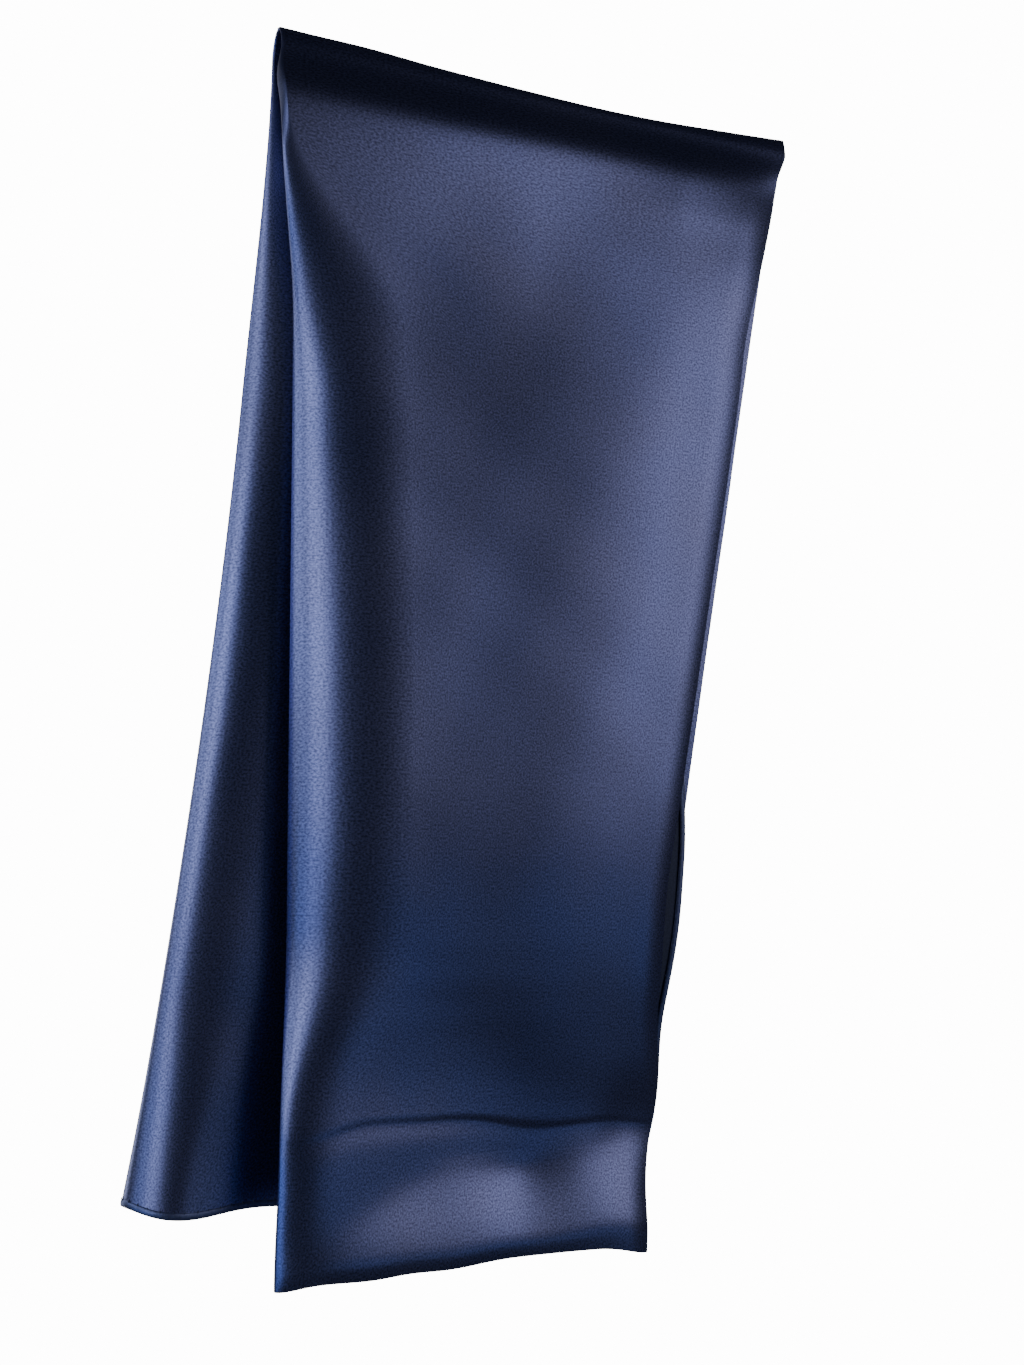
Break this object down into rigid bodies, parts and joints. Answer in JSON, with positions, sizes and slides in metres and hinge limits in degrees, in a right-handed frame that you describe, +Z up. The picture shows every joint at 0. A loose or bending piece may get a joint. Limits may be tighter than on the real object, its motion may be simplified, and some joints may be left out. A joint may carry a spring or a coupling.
{
  "type": "satin neck scarf",
  "caption": "Satin dress scarf folded once lengthwise and hung over a rail, with rolled hems, a deep hem on the front fall, and falls that swing.",
  "frame": {"origin": "middle of the axis of the rail that the scarf hangs over", "axes": "+X along the rail, away from the lengthwise fold and towards the open edges; the front fall hangs at -Y and the back fall at +Y; +Z is up"},
  "size_m": [0.298, 0.0566, 0.5036],
  "materials": {
    "satin": "navy satin, soft directional sheen, fine even grain",
    "hem_satin": "navy satin rolled edge, slightly lighter wrong side",
    "sewing_thread": "dark navy sewing thread, matt"
  },
  "bodies": {
    "top_bend": {"top_outer_ply": "satin", "top_under_ply": "satin", "top_fold_edge": "satin", "top_side_hems": "hem_satin", "top_side_threads": "sewing_thread"},
    "front_fall": {"front_outer_ply": "satin", "front_under_ply": "satin", "front_fold_edge": "satin", "front_outer_side_hem": "hem_satin", "front_under_side_hem": "hem_satin", "front_outer_deep_hem": "satin", "front_under_deep_hem": "satin", "front_side_threads": "sewing_thread", "front_deep_hem_threads": "sewing_thread"},
    "back_fall": {"back_outer_ply": "satin", "back_under_ply": "satin", "back_fold_edge": "satin", "back_outer_side_hem": "hem_satin", "back_under_side_hem": "hem_satin", "back_outer_end_hem": "hem_satin", "back_under_end_hem": "hem_satin", "back_side_threads": "sewing_thread", "back_end_threads": "sewing_thread"}
  },
  "joints": [
    {"name": "front_swing", "type": "hinge", "parent": "top_bend", "child": "front_fall", "pos_m": [0, -0.007, 0], "axis": [-1, 0, 0], "range_deg": [0, 40]},
    {"name": "back_swing", "type": "hinge", "parent": "top_bend", "child": "back_fall", "pos_m": [0, 0.007, 0], "axis": [1, 0, 0], "range_deg": [0, 40]}
  ]
}
